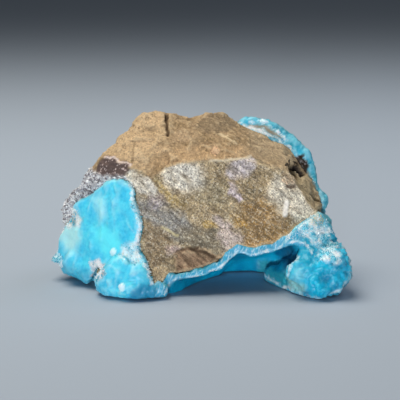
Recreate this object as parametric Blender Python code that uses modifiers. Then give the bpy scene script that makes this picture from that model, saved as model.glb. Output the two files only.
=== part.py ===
"""Hemimorphite specimen: a broken lump of brown host rock, wrapped in part by a blue crust.

The frame is in metres, +Z up. X runs along the specimen and +Y away from its broken front face.
The origin is on the surface that the specimen stands on, under the middle of it. The shapes are
set out from the front foot, in millimetres, and moved over the origin at the end.

The rock is one solid. The hemimorphite grew on it as one crust: a thick pad on the left face, a
lining in the arched hollow underneath, a knot of round lobes at the right, and a coat of round
lumps over the back.
"""

import math
import random

import bmesh
import bpy
from mathutils import Matrix, Vector, noise

MM = 0.001

# Driving dimensions, in metres.
LINING = 3.0 * MM  # crust that lines the hollow, seen as a band along the arch
PAD = 3.6 * MM  # crust on the left face
COAT = 3.4 * MM  # crust over the back and the right side
GAP = 0.36 * MM  # clearance between the rock and the crust
FLOOR = 4.2 * MM  # height of the rock's underside above what the specimen stands on
HOLLOW_DEPTH = 43.0 * MM  # from the front foot to where the hollow's roof meets the ground
HOLLOW_MIDDLE = 18.0 * MM  # x of the hollow's deepest place
BASE = 1.6 * MM  # height of the crust's underside, between the lumps that it stands on
STRIKE = math.radians(12)  # slope along which the pad's outline was broken
LEDGE = 8.0 * MM  # spacing of the hackly ledges on the rock's upper faces
LEDGE_DROP = 1.1 * MM

# How finely each surface is built, and the number of triangles that it is brought down to.
ROCK_GRAIN = 0.8 * MM
CHIP_GRAIN = 0.6 * MM
CRUST_GRAIN = 0.9 * MM
ROCK_TRIANGLES = 1700
CHIP_TRIANGLES = 260
CRUST_TRIANGLES = 5150

# Natural unevenness, as (height, length) of each wave over the surface.
ROCK_WAVES = [(1.3 * MM, 19 * MM), (0.7 * MM, 7 * MM), (0.35 * MM, 3.2 * MM)]
CHIP_WAVES = [(0.9 * MM, 6 * MM), (0.5 * MM, 2.5 * MM)]
CRUST_WAVES = [(0.9 * MM, 6 * MM), (0.5 * MM, 3 * MM)]


def places(*rows):
    """Points given in millimetres."""
    return [Vector(row) * MM for row in rows]


# Corners of the broken rock before it is worn, cut and coated.
FRONT_FACE = places(
    (-19.2, 5.4, 3.6),
    (45, 9.6, 3.6),
    (-27.5, 22, 49.9),
    (-5.6, 26, 51.2),
    (20.5, 26.5, 52.4),
    (34.8, 28, 47.1),
    (47.7, 24, 30.6),
)
TOP_FACE = places(
    (-24.0, 41, 69.4),
    (-19.9, 45, 69.2),
    (-11.7, 46, 68),
    (8.9, 52, 67.2),
    (12.7, 52, 65.5),
    (18.1, 50.5, 62.6),
    (24.4, 49.5, 59.6),
    (34.9, 48, 54.7),
    (39.1, 46.5, 50.7),
    (42, 45.5, 47.9),
)
LEFT_SIDE = places(
    (-29.9, 37, 61.7),
    (-37, 32, 53.8),
    (-40.4, 32, 51.4),
    (-42, 33, 46.2),
    (-48.4, 36, 37.8),
    (-54.1, 38, 32.6),
    (-56.5, 39, 28.7),
    (-55.5, 37, 11),
    (-55, 33, 7),
    (-44, 22, 5),
    (-38, 17, 4.6),
)
BACK_SIDE = places(
    (45.3, 44, 43.8),
    (49.9, 41, 31.5),
    (50.5, 38, 26.6),
    (49, 43, 8),
    (-28, 54, 60),
    (-5, 59, 58),
    (18, 59, 48),
    (34, 54, 38),
    (43, 50, 22),
    (43, 50, 9),
    (18, 61, 11),
    (-20, 61, 11),
    (-43, 54, 12),
    (-51, 46, 11),
    (-50, 46, 27),
    (-40, 49, 45),
    (45, 40, 4.6),
    (34, 53, 4.6),
    (16, 57.5, 4.6),
    (-20, 57.5, 4.6),
    (-38, 50, 4.6),
)
ROCK_CORNERS = FRONT_FACE + TOP_FACE + LEFT_SIDE + BACK_SIDE

# A low corner, and the x and y of a far one, well clear of the specimen on every side.
BELOW = (-90 * MM, -40 * MM, -20 * MM)
BEYOND = (90 * MM, 110 * MM)

# The narrow crack that runs back from the front edge of the top face.
CRACK = places(
    (-13.5, 34.5, 56.5), (-14.1, 42.5, 62.5), (-14.9, 44, 72), (-13.2, 44, 72),
    (-14.5, 34, 72), (-12.8, 34, 72),
)

# Pieces broken out of the rock, each as the corners of what is missing.
CHIPS = {
    "ridge_notch": places(
        (-29.5, 22.6, 51.0), (-18.7, 20.9, 45.0), (-11.0, 26.4, 50.0),
        (-29.5, 8, 60), (-18.7, 8, 54), (-11.0, 8, 58), (-18.7, 30, 66),
    ),
    "cap_undercut": places(
        (35.2, 26.6, 46.9), (43.8, 43, 46.6), (41.0, 31, 41.2), (32.4, 33.5, 44.8),
        (36.5, 43, 45.2), (37.6, 36, 41.6), (50, 24, 46.4), (54, 44, 46.2), (52, 30, 39),
    ),
    "side_face": places(
        (40.6, 28, 42.5), (46.9, 27, 33), (44.2, 40, 42.5), (47.9, 37, 31.5),
        (56, 26, 44), (58, 26, 30), (56, 42, 46), (58, 40, 30),
    ),
    "crest_step": places(
        (-10, 38, 66.5), (-4.2, 38, 64.4), (2, 38, 66.2), (-10, 60, 68), (-4.2, 60, 64.9),
        (2, 60, 66.7), (-10, 48, 80), (2, 48, 80),
    ),
}

# The smooth shell-shaped chip above the arch.
LOWER_CHIP_MIDDLE = Vector((1.0, 8.0, 15.8)) * MM
LOWER_CHIP_RADII = (11 * MM, 4.6 * MM, 5.6 * MM)
LOWER_CHIP_LEAN = (math.radians(-24), math.radians(8))

# Outline of the arch at the front, (x, z) in millimetres from its left foot to its right jamb.
ARCH = [
    (-13.5, 3),
    (-10.8, 7.5),
    (-3.9, 8.7),
    (1.9, 10.2),
    (7.7, 12.5),
    (11.6, 14.8),
    (15.4, 17.5),
    (18, 16.3),
    (22, 15.8),
    (26, 17.1),
    (30, 17.5),
    (32.7, 19),
    (35.4, 21),
    (38.5, 21.4),
    (41.2, 20.6),
    (42.7, 19),
    (44.7, 16.4),
]

# Broken outline of the pad on the left face, (x, z) in millimetres, drawn on the plane y = 20 mm.
PAD_OUTLINE = [
    (-33.9, 45.2),
    (-30.6, 44.1),
    (-26.0, 40.8),
    (-25.6, 34.0),
    (-22.9, 25.6),
    (-24.7, 17.2),
    (-21.0, 10.9),
    (-19.4, 4.3),
    (-19.4, -8.0),
    (-41.0, -8.0),
    (-41.0, 4.7),
    (-38.1, 7.3),
    (-41.9, 10.9),
    (-43.6, 4.6),
    (-47.1, 2.0),
    (-66.0, -2.0),
    (-62.5, 9.6),
    (-59.8, 12.7),
    (-58.2, 19.1),
    (-55.0, 26.3),
    (-50.8, 28.9),
    (-52.2, 33.5),
    (-42.5, 40.1),
]

# The thick broken end of the crust at the right, which runs down into the lobes.
RIGHT_END = places(
    (32, 12, 19),
    (35, 13, 23),
    (38.6, 15.2, 26.5),
    (44, 17.4, 29.6),
    (48.3, 23, 31),
    (51.0, 36, 26.8),
    (53.2, 31, 21.6),
    (57.0, 26, 15.5),
    (58, 22, 10),
    (56, 16, 3),
    (47, 8, 2),
    (36, 26, 21),
    (44, 36, 24),
    (47, 43, 4),
    (36, 34, 3),
)

# The space behind the rock's crest that the coat fills, up to its slanting top edge.
BEHIND_CREST = places(
    (18.1, 50.5, 62.8),
    (42, 45.5, 47.6),
    (50.5, 38.5, 26),
    (53, 37, -6),
    (-44, 51, 29),
    (-46, 50, -6),
    (18, 110, 75),
    (90, 110, 60),
    (90, 70, -6),
    (-90, 110, 25),
    (-90, 110, -6),
    (90, 110, -6),
)

# Path of the crust's thick broken rim along the rock's top right edge, (centre, radius).
RIM = [
    ((18.8, 53, 63.6), 1.1),
    ((23.5, 52.8, 63.0), 2.0),
    ((28.3, 52.3, 61.4), 2.5),
    ((32.9, 51.8, 59.3), 2.7),
    ((37.1, 50.8, 56.3), 2.7),
    ((40.8, 49.2, 53.0), 2.6),
    ((43.6, 47.6, 49.6), 2.5),
    ((45.7, 46.4, 45.6), 2.3),
    ((47.1, 45, 38.8), 2.0),
    ((48.5, 44.5, 34.0), 1.9),
    ((49.6, 43, 29.0), 1.9),
]

# Round lobes: centre and radius in millimetres.
RIGHT_LOBES = [
    ((51.4, 13, 9.2), 8.4),
    ((45.8, 3.6, 4.0), 4.3),
    ((40.4, 8, 10.6), 5.8),
    ((54.6, 12, 9.6), 6.2),
    ((51.0, 7.5, 5.4), 5.6),
    ((40.6, 7, 5.0), 5.2),
    ((36.8, 11, 4.2), 4.6),
    ((53.4, 19, 13.4), 6.0),
]
HOLLOW_LOBES = [
    ((34.6, 17, 3.2), 4.6),
    ((31.4, 22, 3.0), 4.8),
    ((29.4, 29, 2.0), 5.2),
    ((36.5, 25, 6.0), 5.6),
]
RESTING_LOBES = [
    ((-29.5, 50, 3.0), 4.6),
    ((27.5, 51, 3.0), 4.6),
    ((-28.8, 6.4, 4.0), 5.2),
    ((46.6, 9, 6.2), 7.6),
]
FOOT_LOBES = [
    ((-34.4, 9.4, 6.2), 6.2),
    ((-36.8, 11.5, 4.8), 4.4),
    ((-25.2, 4.4, 4.2), 4.6),
    ((-31.6, 9, 10.4), 6.0),
    ((-24.4, 6.0, 9.6), 4.8),
    ((-20.2, 5.0, 3.4), 3.2),
    ((-15.6, 6.0, 3.2), 3.4),
    ((-52.0, 27, 9.0), 4.6),
    ((-48.6, 24.5, 7.8), 3.8),
    ((-58.4, 33, 8.8), 2.6),
]


# Making and joining meshes.
def clear_scene():
    for obj in list(bpy.data.objects):
        bpy.data.objects.remove(obj)


def new_collection(name):
    collection = bpy.data.collections.new(name)
    bpy.context.scene.collection.children.link(collection)
    return collection


def place_mesh(name, bm, collection):
    """An object from a bmesh, which is freed."""
    mesh = bpy.data.meshes.new(name)
    bm.to_mesh(mesh)
    bm.free()
    obj = bpy.data.objects.new(name, mesh)
    collection.objects.link(obj)
    return obj


def add_hull(bm, corners):
    """A convex solid round the corners, as a body of its own in the bmesh."""
    verts = [bm.verts.new(corner) for corner in corners]
    hull = bmesh.ops.convex_hull(bm, input=verts)
    inside = [v for v in hull["geom_interior"] if isinstance(v, bmesh.types.BMVert)]
    bmesh.ops.delete(bm, geom=inside, context="VERTS")


def solid(name, corners, collection, margin=0.0):
    """A convex solid round the corners, or round a ball of the margin's radius at each of them."""
    if margin:
        ball = bmesh.new()
        bmesh.ops.create_icosphere(ball, subdivisions=2, radius=margin)
        steps = [v.co.copy() for v in ball.verts]
        ball.free()
        corners = [corner + step for corner in corners for step in steps]
    bm = bmesh.new()
    add_hull(bm, corners)
    bmesh.ops.recalc_face_normals(bm, faces=bm.faces)
    return place_mesh(name, bm, collection)


def box(name, low, high, collection):
    low, high = Vector(low), Vector(high)
    bm = bmesh.new()
    bmesh.ops.create_cube(bm, size=1)
    bmesh.ops.scale(bm, vec=high - low, verts=bm.verts)
    bmesh.ops.translate(bm, vec=(low + high) / 2, verts=bm.verts)
    return place_mesh(name, bm, collection)


def scoop(name, middle, radii, lean, collection):
    """A ball stretched to three radii and leaned about X and then Y."""
    bm = bmesh.new()
    bmesh.ops.create_icosphere(bm, subdivisions=3, radius=1)
    turn = Matrix.Rotation(lean[0], 4, "X") @ Matrix.Rotation(lean[1], 4, "Y")
    place = Matrix.Translation(middle) @ turn @ Matrix.Diagonal((*radii, 1))
    bmesh.ops.transform(bm, matrix=place, verts=bm.verts)
    return place_mesh(name, bm, collection)


def prism(name, outline, sweep, collection):
    """The area inside an outline, swept along a straight line."""
    bm = bmesh.new()
    face = bm.faces.new([bm.verts.new(point) for point in outline])
    swept = bmesh.ops.extrude_face_region(bm, geom=[face])["geom"]
    moved = [part for part in swept if isinstance(part, bmesh.types.BMVert)]
    bmesh.ops.translate(bm, vec=sweep, verts=moved)
    bmesh.ops.recalc_face_normals(bm, faces=bm.faces)
    return place_mesh(name, bm, collection)


def loft(name, rings, collection):
    """A closed solid through rings of equal length, with a flat face at either end."""
    bm = bmesh.new()
    rows = [[bm.verts.new(point) for point in ring] for ring in rings]
    for near, far in zip(rows, rows[1:]):
        for i, vert in enumerate(near):
            j = (i + 1) % len(near)
            bm.faces.new((vert, near[j], far[j], far[i]))
    bm.faces.new(rows[0])
    bm.faces.new(rows[-1])
    bmesh.ops.recalc_face_normals(bm, faces=bm.faces)
    return place_mesh(name, bm, collection)


def balls(name, lobes, collection):
    """Overlapping balls, each given as (centre, radius)."""
    bm = bmesh.new()
    for centre, radius in lobes:
        bmesh.ops.create_icosphere(
            bm, subdivisions=3, radius=radius, matrix=Matrix.Translation(centre)
        )
    return place_mesh(name, bm, collection)


def in_metres(lobes):
    return [(Vector(centre) * MM, radius * MM) for centre, radius in lobes]


def apply_modifier(obj, kind, **settings):
    """Adds one modifier, and keeps its result as the object's mesh."""
    modifier = obj.modifiers.new(kind.title(), kind)
    for name, value in settings.items():
        setattr(modifier, name, value)
    graph = bpy.context.evaluated_depsgraph_get()
    mesh = bpy.data.meshes.new_from_object(obj.evaluated_get(graph))
    obj.modifiers.remove(modifier)
    old, obj.data = obj.data, mesh
    bpy.data.meshes.remove(old)


def combine(obj, other, operation, solver="EXACT"):
    apply_modifier(obj, "BOOLEAN", object=other, operation=operation, solver=solver)


def join(name, objects, collection):
    """One object that holds the meshes of several, still as bodies of their own."""
    bm = bmesh.new()
    for obj in objects:
        bm.from_mesh(obj.data)
    return place_mesh(name, bm, collection)


def fuse(obj, voxel):
    """Melts the overlapping bodies of an object into one even skin."""
    apply_modifier(obj, "REMESH", mode="VOXEL", voxel_size=voxel, adaptivity=0.0)


def thin_out(obj, triangles):
    """Brings an even skin down to a number of triangles, most of them where it bends."""
    have = sum(len(face.vertices) - 2 for face in obj.data.polygons)
    apply_modifier(obj, "DECIMATE", ratio=triangles / have, use_collapse_triangulate=True)


def grow(obj, distance):
    """Moves every face outwards by the same distance, which takes sharp corners further."""
    bm = bmesh.new()
    bm.from_mesh(obj.data)
    bm.normal_update()
    moves = [vert.normal * distance * min(vert.calc_shell_factor(), 4) for vert in bm.verts]
    for vert, move in zip(bm.verts, moves):
        vert.co += move
    bm.to_mesh(obj.data)
    bm.free()


def tidy(obj):
    """Keeps the largest body of a mesh, as triangles with no slivers of zero size."""
    bm = bmesh.new()
    bm.from_mesh(obj.data)
    bmesh.ops.remove_doubles(bm, verts=bm.verts, dist=0.02 * MM)
    bmesh.ops.dissolve_degenerate(bm, edges=bm.edges, dist=0.02 * MM)
    bmesh.ops.triangulate(bm, faces=bm.faces)
    bodies = []
    left = set(bm.verts)
    while left:
        body, edge = set(), [left.pop()]
        while edge:
            vert = edge.pop()
            body.add(vert)
            for link in vert.link_edges:
                other = link.other_vert(vert)
                if other in left:
                    left.remove(other)
                    edge.append(other)
        bodies.append(body)
    bodies.sort(key=len)
    for body in bodies[:-1]:
        bmesh.ops.delete(bm, geom=list(body), context="VERTS")
    bm.to_mesh(obj.data)
    bm.free()


# The natural surfaces.
def roughen(obj, waves):
    """Moves each point along its normal by smooth noise: (height, length) for each wave."""
    bm = bmesh.new()
    bm.from_mesh(obj.data)
    bm.normal_update()
    moves = []
    for vert in bm.verts:
        height = 0.0
        for index, (rise, length) in enumerate(waves):
            offset = Vector((3.7, 1.9, 5.3)) * (index + 1)
            height += rise * noise.noise(vert.co / length + offset)
        moves.append(vert.normal * height)
    for vert, move in zip(bm.verts, moves):
        vert.co += move
    bm.to_mesh(obj.data)
    bm.free()


def step_off(obj, direction, length, drop):
    """Hackly ledges: the upward faces sink by drop over each length along direction, then jump."""
    bm = bmesh.new()
    bm.from_mesh(obj.data)
    bm.normal_update()
    moves = []
    for vert in bm.verts:
        along = vert.co.dot(direction) / length + 1.1 * noise.noise(vert.co / (17 * MM))
        share = along - math.floor(along)
        upward = min(max((vert.normal.z - 0.45) / 0.25, 0), 1)
        patchy = min(max(0.5 + 1.6 * noise.noise(vert.co / (11 * MM)), 0), 1)
        moves.append(vert.normal * (-drop * share * upward * patchy))
    for vert, move in zip(bm.verts, moves):
        vert.co += move
    bm.to_mesh(obj.data)
    bm.free()


def scatter_caps(base, count, radius, proud, allowed, seed):
    """Balls sunk in a surface so that only a round cap of each stands proud, none too close."""
    rng = random.Random(seed)
    faces = base.data.polygons
    caps = []
    for _ in range(count):
        face = faces[rng.randrange(len(faces))]
        size = rng.uniform(*radius)
        if not allowed(face.center, face.normal):
            continue
        if any((face.center - spot).length < 0.72 * (size + other) for spot, other in caps):
            continue
        caps.append((face.center.copy(), size))
        yield face.center - face.normal * (size - rng.uniform(*proud)), size


def along_rim():
    """Balls a millimetre or two apart along the rim's path."""
    path = in_metres(RIM)
    beads = []
    for (start, first), (end, last) in zip(path, path[1:]):
        for step in range(3):
            share = step / 3
            beads.append((start.lerp(end, share), first + (last - first) * share))
    return beads + path[-1:]


# The hollow under the arch.
def grown_arch(grow):
    """The arch's outline in metres, pushed outwards by grow, with its feet below the ground."""
    line = [Vector(point) * MM for point in ARCH]
    pushed = []
    for i, point in enumerate(line):
        along = line[min(i + 1, len(line) - 1)] - line[max(i - 1, 0)]
        pushed.append(point + Vector((-along.y, along.x)).normalized() * grow)
    left, right = pushed[0], pushed[-1]
    below = -6 * MM
    return [Vector((left.x, below)), *pushed, Vector((right.x, below))]


def hollow(name, grow, collection):
    """The hollow as a solid: the arch's outline drawn in to the ground along a quarter ellipse."""
    outline = grown_arch(grow)
    depth = HOLLOW_DEPTH + grow
    rings = []
    for turn in (None, 0, 12, 24, 35, 45, 54, 62, 69, 75, 80, 84):
        y = -14 * MM if turn is None else depth * math.sin(math.radians(turn))
        size = 1 if turn is None else math.cos(math.radians(turn))
        ring = []
        for x, z in outline:
            ring.append((HOLLOW_MIDDLE + (x - HOLLOW_MIDDLE) * size, y, z * size if z > 0 else z))
        rings.append(ring)
    return loft(name, rings, collection)


def pad_prism(collection):
    """The pad's outline, swept back through the rock along the slope that it was struck along."""
    front, back = -20 * MM, 62 * MM
    lift = (20 * MM - front) * math.tan(STRIKE)
    outline = [Vector((x * MM, front, z * MM + lift)) for x, z in PAD_OUTLINE]
    sweep = Vector((0, 1, -math.tan(STRIKE))) * (back - front)
    return prism("pad_outline", outline, sweep, collection)


def make_rock(parts, helpers):
    rock = solid("host_rock", ROCK_CORNERS, parts)
    fuse(rock, ROCK_GRAIN)
    roughen(rock, ROCK_WAVES)
    step_off(rock, Vector((0.35, 0.75, 0.56)), LEDGE, LEDGE_DROP)
    thin_out(rock, ROCK_TRIANGLES)
    for name, corners in CHIPS.items():
        chip = solid(name, corners, helpers)
        fuse(chip, CHIP_GRAIN)
        roughen(chip, CHIP_WAVES)
        thin_out(chip, CHIP_TRIANGLES)
        combine(rock, chip, "DIFFERENCE")
    combine(rock, solid("crack", CRACK, helpers), "DIFFERENCE")
    chip = scoop("lower_chip", LOWER_CHIP_MIDDLE, LOWER_CHIP_RADII, LOWER_CHIP_LEAN, helpers)
    combine(rock, chip, "DIFFERENCE")
    combine(rock, hollow("hollow_in_rock", LINING + GAP, helpers), "DIFFERENCE")
    combine(rock, solid("right_end_in_rock", RIGHT_END, helpers, margin=GAP), "DIFFERENCE")
    combine(rock, box("under_rock", BELOW, (*BEYOND, FLOOR), helpers), "DIFFERENCE")
    tidy(rock)
    return rock


def on_back(point, normal):
    """Whether the coat's round lumps grow at a place on the crust."""
    x, y, z = point / MM
    in_hollow = -16 < x < 47 and y < 46 and z < 24
    at_rim = z > 34 and y + 0.23 * (62 - z) < 53.5 or 8 < x < 26 and z > 57
    at_right_edge = x > 44 and 15 < z < 46 and normal.y < 0.6
    least = 0.2 if x > 40 or z > 34 else -0.1
    behind = normal.y > least and y > 30 and x > -46 and z > 2.5
    return behind and not (in_hollow or at_rim or at_right_edge)


def underneath(point, normal):
    """Whether low lumps grow at a place on the crust's underside."""
    x, y, z = point / MM
    in_hollow = -16 < x < 47 and y < 44
    under_pad = x < -35 and y < 26
    return normal.z < -0.6 and z < 5 and y > 12 and not (in_hollow or under_pad)


def make_crust(rock, parts, helpers):
    pad = solid("pad", ROCK_CORNERS, helpers, margin=PAD)
    combine(pad, pad_prism(helpers), "INTERSECT")

    lining = hollow("lining", LINING, helpers)
    combine(lining, solid("rock_bulk", ROCK_CORNERS, helpers), "INTERSECT")

    top = FLOOR + 0.6 * MM
    base = box("base", (-41 * MM, 6 * MM, BASE), (60 * MM, 90 * MM, top), helpers)
    combine(base, solid("base_reach", ROCK_CORNERS, helpers, margin=COAT), "INTERSECT")

    coat = solid("coat", ROCK_CORNERS, helpers, margin=COAT)
    combine(coat, solid("behind", BEHIND_CREST, helpers), "INTERSECT")

    end = solid("right_end", RIGHT_END, helpers)
    crust = join("crust_base", [pad, lining, base, coat, end], helpers)
    fuse(crust, CRUST_GRAIN)
    combine(crust, hollow("hollow", 0.0, helpers), "DIFFERENCE")

    lumps = list(scatter_caps(crust, 6000, (3.4 * MM, 6.5 * MM), (1.2 * MM, 2.4 * MM), on_back, 7))
    lumps += scatter_caps(crust, 3000, (3.4 * MM, 5 * MM), (0.5 * MM, 1.1 * MM), underneath, 8)
    lumps += in_metres(RIGHT_LOBES + HOLLOW_LOBES + RESTING_LOBES + FOOT_LOBES) + along_rim()
    whole = join("hemimorphite_crust", [crust, balls("lobes", lumps, helpers)], parts)
    fuse(whole, CRUST_GRAIN)
    roughen(whole, CRUST_WAVES)
    thin_out(whole, CRUST_TRIANGLES)

    shell = join("rock_clearance", [rock], helpers)
    grow(shell, GAP)
    combine(whole, shell, "DIFFERENCE", solver="MANIFOLD")
    combine(whole, box("below_ground", BELOW, (*BEYOND, 0), helpers), "DIFFERENCE")
    tidy(whole)
    return whole


def give_material(obj, colour, roughness):
    material = bpy.data.materials.new(obj.name)
    material.use_nodes = True
    shader = material.node_tree.nodes["Principled BSDF"]
    shader.inputs["Base Color"].default_value = (*colour, 1)
    shader.inputs["Roughness"].default_value = roughness
    shader.inputs["Metallic"].default_value = 0.0
    obj.data.materials.clear()
    obj.data.materials.append(material)


def centre(objects):
    """Moves the meshes so that the middle of the specimen is over the origin."""
    corners = [vert.co for obj in objects for vert in obj.data.vertices]
    low = Vector(min(corner[axis] for corner in corners) for axis in range(3))
    high = Vector(max(corner[axis] for corner in corners) for axis in range(3))
    middle = (low + high) / 2
    for obj in objects:
        obj.data.transform(Matrix.Translation((-middle.x, -middle.y, -low.z)))


clear_scene()
parts = new_collection("hemimorphite_specimen")
helpers = new_collection("cutters")
host_rock = make_rock(parts, helpers)
hemimorphite_crust = make_crust(host_rock, parts, helpers)
for helper in helpers.objects:
    helper.hide_render = True
    helper.display_type = "WIRE"
give_material(host_rock, (0.36, 0.24, 0.13), 0.9)
give_material(hemimorphite_crust, (0.08, 0.52, 0.72), 0.35)
centre([host_rock, hemimorphite_crust])
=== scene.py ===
"""A hemimorphite specimen: a broken lump of host rock with a sky-blue crust, on a pale table."""

import math

import bmesh
import bpy
import numpy as np
from mathutils import Matrix, Vector, noise
from mathutils.bvhtree import BVHTree


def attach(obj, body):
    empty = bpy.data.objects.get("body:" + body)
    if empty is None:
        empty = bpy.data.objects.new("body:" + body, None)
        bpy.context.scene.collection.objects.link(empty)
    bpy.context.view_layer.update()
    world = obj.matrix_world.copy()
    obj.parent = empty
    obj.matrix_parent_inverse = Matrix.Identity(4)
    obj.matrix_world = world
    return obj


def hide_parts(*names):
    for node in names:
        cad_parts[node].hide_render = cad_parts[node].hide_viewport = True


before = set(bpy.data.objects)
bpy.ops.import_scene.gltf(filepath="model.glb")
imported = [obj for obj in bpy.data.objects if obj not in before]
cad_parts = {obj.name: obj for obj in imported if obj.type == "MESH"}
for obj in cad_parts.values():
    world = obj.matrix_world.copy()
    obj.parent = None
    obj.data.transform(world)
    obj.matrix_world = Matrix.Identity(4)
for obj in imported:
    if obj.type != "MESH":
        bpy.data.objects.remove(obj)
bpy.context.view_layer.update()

# ----------------------------------------
# Host rock
# A lump of altered, iron-stained rock. Its front is a fresh granular break, its top an older
# and smoother one, and its right end is chipped. Everything else on the specimen grew on it.
# ----------------------------------------
MM = 0.001
ROCK_MESH = 0.52  # mm between the points of its surface
GRAIN = 0.5  # mm across; the finer grains between them wouldn't show, so they are left out
STREAK_DIP = math.radians(37)  # the grains lie in streaks that run down to the right
STREAK = (7, 2.5, 0.9)  # mm: how long, deep and high a streak is

# The upper edge of the granular break, as (x, z) in millimetres from left to right.
BREAK_EDGE = [
    (-64, 40), (-46, 43.5), (-40, 45.2), (-33.9, 44.4), (-30, 46.4), (-28.1, 48.6), (-23.7, 47.9),
    (-19.1, 44.8), (-16.9, 46.6), (-14.1, 48.7), (-8.1, 50.7), (1.9, 51.4), (15.6, 51.9),
    (20.6, 52.4), (26.2, 49.9), (31.2, 48.1), (35.6, 46.8), (38.1, 42.9), (40.4, 38.8),
    (43.4, 34.6), (46.5, 31.3), (50, 27),
]

# Stains of the granular break: an outline in (x, z), how far its edge fades in millimetres, its
# colour, and how much of the colour it takes.
BREAK_STAINS = {
    "olive_stain": ([(-1.7, 43.8), (8.7, 42.8), (12.7, 37.5), (10.3, 33.8), (3.1, 34.6),
                     (-1.7, 37.6)], 2.5, "857d63", 0.65),
    "ochre_stain": ([(15.9, 34.8), (24.7, 36.8), (32.6, 30.7), (35.8, 25.4), (33.2, 18.8),
                     (24.6, 16.8), (18.6, 18.8), (15, 27.7)], 3, "8a6b3b", 0.8),
    "ochre_edge": ([(18, 21), (27, 21.5), (33, 23), (32, 19), (25, 17), (18, 18)], 1.5, "ad854c", 0.7),
    "grey_stain": ([(-25.6, 38), (-20, 36.6), (-14, 34.6), (-7.3, 31.9), (-2.9, 25.8), (-7.8, 21.3),
                    (-14.9, 24), (-19.9, 29.4), (-25.5, 31.4)], 1.8, "7f8180", 0.85),
    "violet_stain": ([(-20, 39.1), (-14.9, 39), (-13.6, 35.3), (-17.6, 33.6), (-20.8, 35.8)], 1.4,
                     "968f9a", 0.6),
    "brown_foot": ([(-24.5, 29), (-16, 26.8), (-11.2, 22.1), (-9.6, 17.5), (-12.8, 13), (-12.8, 4),
                    (-21, 4), (-22, 18.7)], 1.5, "89765a", 0.85),
    "dark_foot": ([(-9.6, 25.8), (1.9, 26.5), (12.6, 21.1), (11, 18.1), (-0.1, 17.2), (-8.8, 19.8)],
                  1.6, "766e5c", 0.85),
    "cream_right": ([(28.9, 45), (36.3, 43.3), (42.1, 38.7), (47.7, 30.5), (44.9, 27.1),
                     (38.4, 28.3), (31.9, 31.9), (27.2, 37.4)], 1.8, "d6d0be", 0.85),
    "white_top": ([(-15.4, 48.6), (-8.1, 51.1), (-0.1, 49.1), (0.7, 42.2), (-5.7, 40),
                   (-12.9, 42.4)], 3, "e2dfd2", 0.8),
    "cream_left": ([(-28.5, 47.9), (-24.9, 48.6), (-21.3, 45.6), (-17.3, 41.3), (-18, 38.2),
                    (-21.6, 39.3), (-26.6, 39.3), (-28.2, 44)], 1.2, "d5d2c6", 0.85),
    "lavender_top": ([(12, 50.5), (21, 53.2), (22.5, 48.8), (18.8, 44.9), (13.5, 44.3),
                      (11.1, 46.6)], 1.2, "b7b0b3", 0.85),
    "lavender_vein": ([(11.1, 43.6), (13.5, 43.2), (17.9, 37), (15.9, 36), (11.5, 39.8)], 0.6,
                      "c0b4ba", 0.85),
    "pink_streak": ([(5.1, 30.9), (8.3, 30.1), (17, 22.5), (17.4, 16.2), (12.2, 15.5), (7.1, 22.6)],
                    1.3, "c3b4ad", 0.85),
    "yellow_band": ([(-18.9, 45.5), (-16.1, 43.9), (-11.3, 39.4), (-5.7, 35.1), (-6.5, 32.9),
                     (-12, 35.3), (-16.9, 40.1)], 1, "a38d57", 0.7),
    "yellow_spot": ([(1.5, 29.8), (5.5, 29), (6.7, 26), (2.3, 26.5)], 0.9, "b59549", 0.7),
    "yellow_spot_right": ([(12.3, 31.1), (18.7, 29.5), (18.2, 25.4), (13.4, 26.3)], 1.2, "b08b46", 0.65),
    "pink_spot": ([(-13.2, 19.4), (-9.2, 20), (-8.6, 16.7), (-12.8, 16.1)], 0.8, "b9a39b", 0.8),
    "cream_foot": ([(-19.8, 10.4), (-12.8, 13), (-12.8, 8), (-13.2, 4), (-20, 4), (-20.8, 7.8)], 1,
                   "b7a27d", 0.8),
    "orange_top": ([(33.5, 46.1), (37.2, 44.6), (38, 41.2), (34.6, 41.5), (32.6, 43.9)], 0.9,
                   "b89a7a", 0.7),
}

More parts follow.
